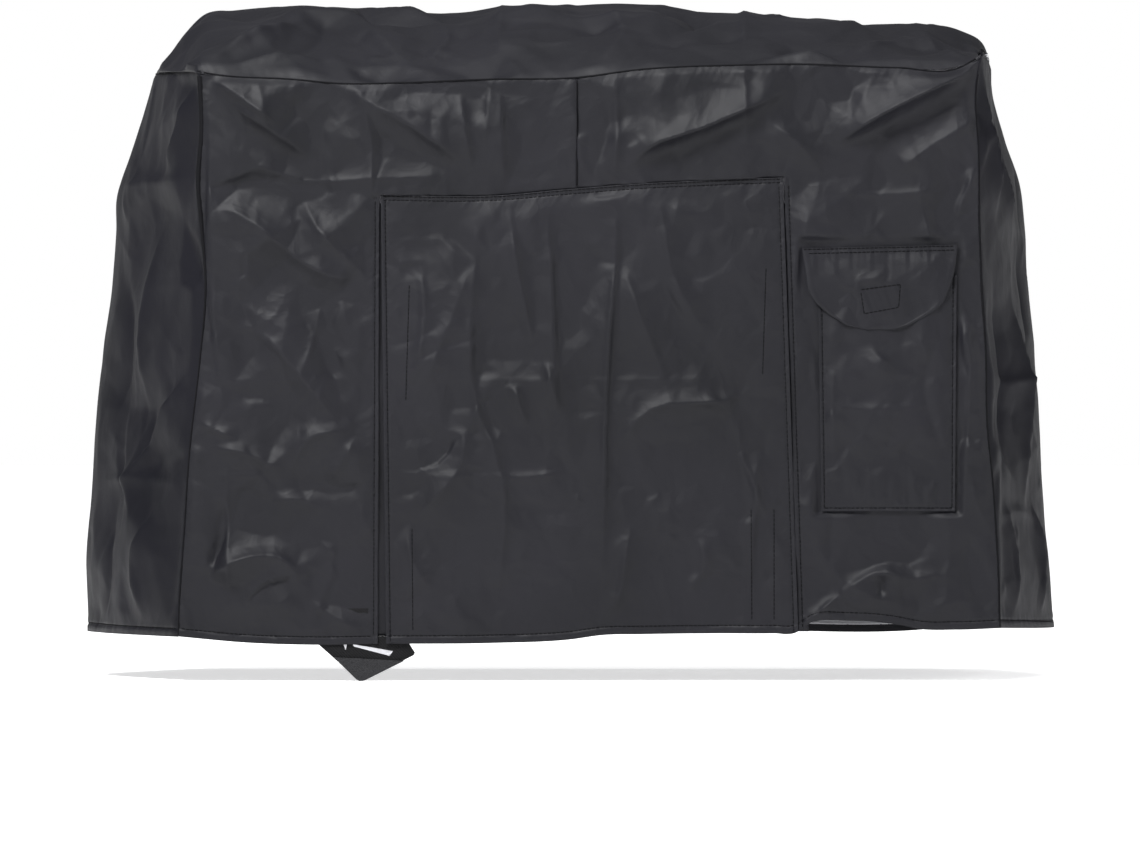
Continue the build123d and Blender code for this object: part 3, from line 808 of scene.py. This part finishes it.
def flap_rise(x, z):
    """How far the flap's cloth stands in front of the fronts at a place."""
    share = np.clip(z / DOOR_TALL, 0, 1)
    left, right = [edge[0] + (edge[1] - edge[0]) * share for edge in (FLAP_LEFT, FLAP_RIGHT)]
    to_edge, to_head, to_hem = np.minimum(x - left, right - x), bend(HEAD_LINE, x) - z, z - bend(HEM_LINE, x)
    rise = 2.3 * folds(x, z, FLAP_FOLDS) + crumple(x, z, 220, 1.1, 91) + facets(x, z, 46, 3.4, 91, 2.0)
    rise += facets(x, z, 17, 1.0, 97)
    rise *= (0.3 + 0.7 * rounded(to_edge / 30)) * (0.35 + 0.65 * rounded(to_hem / 30)) * rounded(to_head / 30)
    rise += turned_edge(to_edge, z, 92, 5.0) + turned_edge(to_hem, x, 93)
    rise += turned_edge(to_head, x, 94, 4.0)
    return np.maximum(rise + FLAP_PROUD * rounded(0.3 + to_head / 40), 0.5)


flap_across = steps(0, FLAP_WIDE, 2.45, [5, FLAP_WIDE - 5]) / FLAP_WIDE
flap_up = steps(0, FLAP_TALL, 2.45, [9, FLAP_TALL - 4]) / FLAP_TALL
u, v = np.meshgrid(flap_across, flap_up)
z = v * FLAP_TALL
for _ in range(3):
    share = np.clip(z / DOOR_TALL, 0, 1)
    left, right = [edge[0] + (edge[1] - edge[0]) * share for edge in (FLAP_LEFT, FLAP_RIGHT)]
    x = left + (right - left) * u
    z = bend(HEM_LINE, x) + v * (bend(HEAD_LINE, x) - bend(HEM_LINE, x))
grid = np.stack([x, np.full(x.shape, front_y), z], axis=2)
turned = z < bend(HEM_LINE, x) + HEM_TURN
flap, flap_skin = sheet("front_flap_cloth", grid, flap_rise(x, z), (0, -1, 0), front_cloth, turned=turned)
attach(flap, "front_flap")
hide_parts("front_flap_panel")

# ---- Plackets ----------------------------------------------------------------------------------
# A strip of the cloth is sewn behind each side of the door opening and reaches behind the flap, as
# the ground for the loop tapes.
PLACKET_RISE = -3.4  # behind the fronts' outer face

placket_skin = {}
for hand, door, sign in (("left", LEFT_DOOR, 1), ("right", RIGHT_DOOR, -1)):
    up = steps({"left": -1, "right": 4}[hand], 488, 6.0)[:, None]
    edge = door[0] + (door[1] - door[0]) * up / DOOR_TALL
    x = edge + sign * np.linspace(-12, 45, 12)
    z = up + 0 * x
    rise = PLACKET_RISE + 0.35 * waves(z, 101) * rounded(np.abs(x - edge) / 20)
    grid = np.stack([x, np.full(x.shape, front_y), z], axis=2)
    placket, placket_skin[hand] = sheet(f"{hand}_placket_cloth", grid, rise, (0, -1, 0), front_cloth)
    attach(placket, "cover")
    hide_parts(f"{hand}_placket")

# ---- Hook and loop tapes -----------------------------------------------------------------------
# Four pairs of black tape hold the flap shut: soft loops on the plackets, and stiff little hooks on
# the flap's silver side. Each is woven, about an inch wide, and stitched round its edge.
TAPE = 1.0
# Node, first and last x, bottom and top
TAPES = {
    "upper_left": (-210.5, -185.5, 265, 396),
    "lower_left": (-202.5, -177.5, 5, 123),
    "upper_right": (217.5, 242.5, 294, 418),
    "lower_right": (205.5, 230.5, 17, 145),
}


def tape_material(name, grain, height, dark, light):
    """Woven tape with a pile of loops or of hooks, of that grain and height."""
    material, tree, paint = shader(name)
    pile = texture(tree, "Voronoi", scale=grain)
    colour(tree, paint, pile.outputs["Distance"], light, dark)
    tuft = relief(tree, pile.outputs["Distance"], 0.9, height)
    tuft.invert = True
    finish(tree, paint, tuft, 0.85, 0.2)
    paint.inputs["Sheen Weight"].default_value = 0.05
    return material


loops = tape_material("black_loop_pile", 900.0, 0.0006, (0.004, 0.004, 0.005), (0.021, 0.021, 0.023))
hooks = tape_material("black_hook_pile", 600.0, 0.0008, (0.005, 0.005, 0.006), (0.028, 0.028, 0.030))


def tape(name, x_low, x_high, z_low, z_high, rise, facing, pile, body, node, kind):
    """A tape with softly rounded edges, its outer face at that rise from the fronts' outer face."""
    x, z = np.meshgrid(steps(x_low, x_high, 2.5), steps(z_low, z_high, 4.0))
    edge = np.minimum(np.minimum(x - x_low, x_high - x), np.minimum(z - z_low, z_high - z))
    soft = 0.25 * rounded(edge / 2.5) - 0.25
    grid = np.stack([x, np.full(x.shape, front_y - rise), z], axis=2)
    piece, _ = sheet(name, grid, soft, (0, facing, 0), pile, thickness=TAPE - 0.1, inside=binding)
    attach(piece, body)
    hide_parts(node)


for place_name, (x_low, x_high, z_low, z_high) in TAPES.items():
    span = (x_low, x_high, z_low, z_high)
    tape(f"{place_name}_loops", *span, -2.4, -1, loops, "cover", f"placket_loop_{place_name}", "loop_tape")
    tape(f"{place_name}_hooks", *span, -2.0, 1, hooks, "front_flap", f"flap_hook_{place_name}", "hook_tape")

# ---- Pocket ------------------------------------------------------------------------------------
# A patch pocket on the right front. Its sides and bottom are turned in and sewn down, and its mouth
# is hidden under its own flap. A loop patch inside the mouth meets the hooks on that flap.
POCKET_BOTTOM = 140
POCKET_TALL = 267
POCKET_WIDE = 155
POCKET_LEFT = (284, 280)  # x at its bottom and at its mouth
POCKET_RIGHT = (435, 437)
POCKET_STAND = 4.5  # how far its middle stands off the panel
POCKET_FOLDS = [
    ([(300, 330), (296, 250), (304, 170)], 2, 7, 9),
    ([(284, 260), (350, 256), (436, 262)], 1.2, 4, 8),
    ([(420, 350), (400, 280), (424, 200)], -2, 9, 9),
    ([(320, 330), (350, 300), (400, 290)], 1.6, 8, 8),
    ([(330, 200), (370, 215), (420, 190)], 1.6, 9, 9),
]

pocket_across = steps(0, POCKET_WIDE, 2.4, [4, POCKET_WIDE - 4]) / POCKET_WIDE
u, v = np.meshgrid(pocket_across, steps(0, POCKET_TALL, 2.4, [4]) / POCKET_TALL)
z = POCKET_BOTTOM + v * POCKET_TALL
left, right = [edge[0] + (edge[1] - edge[0]) * v for edge in (POCKET_LEFT, POCKET_RIGHT)]
x = left + (right - left) * u
to_side, to_bottom = np.minimum(x - left, right - x), z - POCKET_BOTTOM
rise = 1.0 + POCKET_STAND * rounded(to_side / 45) * rounded(to_bottom / 70) + 1.6 * folds(x, z, POCKET_FOLDS)
loose = rounded(np.minimum(to_side, to_bottom) / 16) * (0.3 + 0.7 * rounded((362 - z) / 30))
rise += (crumple(x, z, 60, 1.3, 111) + facets(x, z, 36, 3.6, 111) + facets(x, z, 15, 0.8, 118)) * loose
rise += 1.1 * waves(x, 117) * np.exp(-to_bottom / 22) * rounded(to_bottom / 8)
rise += turned_edge(to_side, z, 112, 4.0) + turned_edge(to_bottom, x, 113, 4.0)
grid = np.stack([x, np.full(x.shape, front_y), z], axis=2)
pocket, pocket_skin = sheet("pocket_cloth", grid, np.maximum(rise, 0.8), (0, -1, 0), front_cloth)
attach(pocket, "cover")
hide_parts("pocket_panel")
tape("pocket_loops", 330, 373, 365, 392, 6.6, -1, loops, "cover", "pocket_loop_patch", "loop_tape")

# ---- Pocket flap -------------------------------------------------------------------------------
# A rounded flap of the cloth, sewn on above the pocket with two rows. A patch of hooks is sewn inside
# it, and that patch's stitching shows outside.
# Height, left and right of its outline
POCKET_FLAP = [(345, 334, 366), (349, 316, 380), (356, 303, 394), (374, 280, 420), (387, 271, 427),
               (410, 266, 434), (441, 262, 438)]
POCKET_FLAP_TIP = 345
POCKET_FLAP_TOP = 441
POCKET_FLAP_FOLDS = [
    ([(290, 436), (300, 405), (330, 385)], 2, 9, 9),
    ([(420, 436), (400, 410), (376, 392)], 2, 9, 9),
    ([(345, 432), (360, 410), (352, 396)], -1.5, 9, 9),
]

turns = np.linspace(0, math.pi / 2, 44)[:, None]
z = POCKET_FLAP_TIP + (POCKET_FLAP_TOP - POCKET_FLAP_TIP) * np.sin(turns) ** 1.6
lefts, rights = [bend([(p[0], p[n]) for p in POCKET_FLAP], z) for n in (1, 2)]
x = lefts + (rights - lefts) * steps(0, 1, 1 / 74)
z = z + (437 - POCKET_FLAP_TOP) * (1 - (x - 262) / 176) * ((z - POCKET_FLAP_TIP) / 96) + 0 * x
to_tip = z - POCKET_FLAP_TIP + np.abs(x - 350) * 0.12
to_rim = np.minimum(np.minimum(x - lefts, rights - x) * 0.9, to_tip)
rise = 2.0 + 6.0 * rounded((438 - z) / 45)
rise = rise + 1.5 * folds(x, z, POCKET_FLAP_FOLDS) + crumple(x, z, 14, 0.6, 121)
rise += facets(x, z, 24, 2.0, 121) * rounded((436 - z) / 14) + 0.8 * waves(x, 122) * rounded((z - 400) / 35)
over_patch = inside_box(x, z, 320, 383, 355, 402)
rise = rise * (1 - over_patch) + (8.4 + 0.5 * waves(x + 0.4 * z, 123)) * over_patch
rise += 0.6 * rounded((6 - to_rim) / 2) - 1.2 * rounded((5 - to_rim) / 5) * rounded((430 - z) / 20)
grid = np.stack([x, np.full(x.shape, front_y), z], axis=2)
pocket_flap, pocket_flap_skin = sheet("pocket_flap_cloth", grid, rise, (0, -1, 0), front_cloth)
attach(pocket_flap, "pocket_flap")
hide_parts("pocket_flap_panel")
tape("pocket_hooks", 330, 373, 365, 392, 6.9, 1, hooks, "pocket_flap", "pocket_hook_patch", "hook_tape")

# ---- Hem straps --------------------------------------------------------------------------------
# Two straps of black woven webbing cinch the hem. The left one hangs below it, folded to a point, with
# its loop face out and a sliver of the silver facing showing. The right one is tucked up inside.
STRAP = 1.2
LEFT_STRAP = [(-287, -1), (-285, -10), (-241, -49), (-237, -51.5), (-232, -50.5), (-177, -23), (-175, -20),
              (-182, -9), (-183, -1)]
LEFT_STRAP_FACE = [(-267, -25), (-187, -29), (-232, -51.3), (-237, -52.5), (-241.5, -50)]
FACING = [(-246, -10), (-200, -18.2), (-204, -23.5), (-244, -13)]
FACING_CORNER = [(-256.5, -9), (-251.5, -9), (-253.5, -17)]

webbing, tree, paint = shader("black_webbing")
twill = texture(tree, "Wave", scale=180.0, distortion=1.5)
twill.bands_direction = "DIAGONAL"
colour(tree, paint, twill.outputs["Fac"], (0.002, 0.002, 0.002), (0.006, 0.006, 0.007))
finish(tree, paint, relief(tree, twill.outputs["Fac"], 0.6, 0.0003), 0.8, 0.12)


def cut_shape(name, outlines, rise, thickness, material, body, bulge=0.0):
    """Flat shapes cut from webbing or facing, facing the front, with softly rounded edges."""
    points, faces = [], []
    for outline in outlines:
        outline = np.array(outline, float)
        middle = outline.mean(axis=0)
        ring = len(points)
        for share in (1.0, 0.66, 0.33):
            for px, pz in middle + (outline - middle) * share:
                points.append((px, front_y - rise - bulge * (1 - share**2), pz))
        points.append((*middle[:1], front_y - rise - bulge, *middle[1:]))
        n = len(outline)
        for band in range(2):
            for c in range(n):
                d = (c + 1) % n
                a, b = ring + band * n, ring + (band + 1) * n
                faces.append((a + c, a + d, b + d, b + c))
        faces += [(ring + 2 * n + c, ring + 2 * n + (c + 1) % n, ring + 3 * n) for c in range(n)]
    points = np.array(points) * MM + np.array([0, 0, HEM])
    piece = new_mesh(name, points, faces, [material])
    solid = piece.modifiers.new("thickness", "SOLIDIFY")
    solid.thickness = thickness * MM
    solid.offset = 0.0
    rounding = piece.modifiers.new("rounding", "BEVEL")
    rounding.width = 0.0003
    rounding.segments = 2
    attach(piece, body)
    return piece


strap = cut_shape("left_strap_cloth", [LEFT_STRAP], -1.6, STRAP, webbing, "left_strap")
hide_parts("left_strap_webbing")
face = cut_shape("left_strap_loop_face", [LEFT_STRAP_FACE], 0.6, STRAP, loops, "left_strap", 1.2)
facing = cut_shape("left_strap_silver", [FACING, FACING_CORNER], -0.7, 0.4, silver, "left_strap")
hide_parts("left_strap_facing")
RIGHT_STRAP = [(275, 18), (325, 18), (325, 150), (300, 153), (275, 150)]
tucked = cut_shape("right_strap_cloth", [RIGHT_STRAP], -3.9, STRAP, webbing, "right_strap")
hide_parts("right_strap_webbing")
for hand, low, high, bottom in (("left", -285, -228, 2), ("right", 275, 325, 17)):
    outline = [(low, bottom), (high, bottom), (high, 30), (low, 30)]
    anchor = cut_shape(f"{hand}_strap_end", [outline], -2.0, STRAP, webbing, "cover")
    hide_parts(f"{hand}_strap_anchor")

# ---- Stitching ---------------------------------------------------------------------------------
# Black lockstitch, about five to the inch: hems, turned edges, the flap's and pocket's rows, and the
# rows that hold the tapes, which show through on the outside.
PITCH = 5.0
STITCH = 4.2
THREAD = 0.52

thread, tree, paint = shader("black_thread")
twist = texture(tree, "Noise", scale=900.0)
colour(tree, paint, twist.outputs["Fac"], (0.002, 0.002, 0.002), (0.005, 0.005, 0.006))
paint.inputs["Roughness"].default_value = 0.9
paint.inputs["Specular IOR Level"].default_value = 0.05


def sewing(name, body, rows):
    """Stitches laid on the cloth. Each row is the cloth's skin, a path beside it, and the way to it."""
    ends = []
    for skin, path, towards in rows:
        path = np.array(path, float)
        marks = np.concatenate([[0], np.cumsum(np.linalg.norm(np.diff(path, axis=0), axis=1))])
        towards = Vector(towards)
        for start in np.arange(0.8, marks[-1] - STITCH, PITCH):
            pair = []
            for mark in (start, start + STITCH):
                at = Vector([float(np.interp(mark, marks, path[:, k])) for k in range(3)])
                hit, normal, _, _ = skin.ray_cast(at - towards * 60, towards)
                if hit is not None:
                    pair.append((hit, normal if normal.dot(towards) < 0 else -normal))
            if len(pair) == 2:
                ends.append(pair)
    points, faces = [], []
    for (a, out), (b, _) in ends:
        along = (b - a).normalized()
        side = along.cross(out).normalized()
        first = len(points)
        for share, size in ((0.0, 0.35), (0.14, 1.0), (0.86, 1.0), (1.0, 0.35)):
            middle = a.lerp(b, share) + out * (0.25 * THREAD * size)
            for turn in range(6):
                angle = turn * math.pi / 3
                points.append(middle + (side * math.cos(angle) + out * math.sin(angle)) * THREAD * size)
        for ring in range(3):
            for turn in range(6):
                p, q = first + ring * 6 + turn, first + ring * 6 + (turn + 1) % 6
                faces.append((p, q, q + 6, p + 6))
        faces += [tuple(range(first, first + 6))[::-1], tuple(range(first + 18, first + 24))]
    points = np.array([tuple(p) for p in points]) * MM + np.array([0, 0, HEM])
    piece = new_mesh(name, points, faces, [thread])
    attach(piece, body)
    return piece


def upright_row(skin, low, high, x_low, x_high):
    """A straight row on the front, from one height to another."""
    return skin, [(x_low, front_y, low), (x_high, front_y, high)], (0, 1, 0)


def hem_row(skin, low, high, line=HEM_LINE, up=9.0, y=front_y):
    towards = (0, 1, 0) if y < 0 else (0, -1, 0)
    return skin, [(x, y, bend(line, x) + up) for x in np.arange(low, high, 5.0)], towards


left_edge = [LEFT_DOOR[0] - 5, LEFT_DOOR[1] - 5]
sewing("left_front_stitches", "cover", [
    hem_row(left_front_skin, -440, -223),
    upright_row(left_front_skin, 0, 490, *left_edge),
])
right_edge = [RIGHT_DOOR[0] + 5, RIGHT_DOOR[1] + 5]
sewing("right_front_stitches", "cover", [
    hem_row(right_front_skin, 263, 484),
    upright_row(right_front_skin, 8, 508, *right_edge),
])
sewing("back_stitches", "cover", [hem_row(back_skin, -438, 482, BACK_HEM, y=-front_y)])
for hand, out in (("left", -1), ("right", 1)):
    around = np.arange(-276.0, 277.0, 5.0)
    path = [(out * 500, y, 9.0 + SIDE_HEM[hand][0] * max(0, -y / HALF_DEPTH)) for y in around]
    sewing(f"{hand}_side_stitches", "cover", [(side_skin[hand], path, (-out, 0, 0))])
head_rows = [
    (flap_skin, [(x, front_y, bend(HEAD_LINE, x) - down) for x in np.arange(-212.0, 241.0, 5.0)], (0, 1, 0))
    for down in (1.6, 5.6)
]
tape_rows = [upright_row(flap_skin, 17, 145, 230.5, 230.5)]
for x_low, x_high, z_low, z_high in TAPES.values():
    inner = x_high if x_high < 0 else x_low
    tape_rows.append(upright_row(flap_skin, z_low, z_high, inner, inner + (4 if z_low > 200 else -1)))
sewing("flap_stitches", "front_flap", head_rows + tape_rows + [
    hem_row(flap_skin, -206, 257),
    upright_row(flap_skin, -8, 492, FLAP_LEFT[0] + 5, FLAP_LEFT[1] + 5),
    upright_row(flap_skin, 2, 508, FLAP_RIGHT[0] - 5, FLAP_RIGHT[1] - 5),
])
sewing("pocket_stitches", "cover", [
    (pocket_skin, [(284, front_y, 404), (287.5, front_y, 143.5), (431.5, front_y, 143.5),
                   (433, front_y, 404)], (0, 1, 0)),
])
sewing("pocket_flap_stitches", "pocket_flap", [
    (pocket_flap_skin, [(263, front_y, 435.5), (437, front_y, 439.5)], (0, 1, 0)),
    (pocket_flap_skin, [(269, front_y, 431), (436, front_y, 435)], (0, 1, 0)),
    (pocket_flap_skin, [(328, front_y, 390), (373, front_y, 396), (371, front_y, 370), (332, front_y, 363),
                        (328, front_y, 390)], (0, 1, 0)),
])
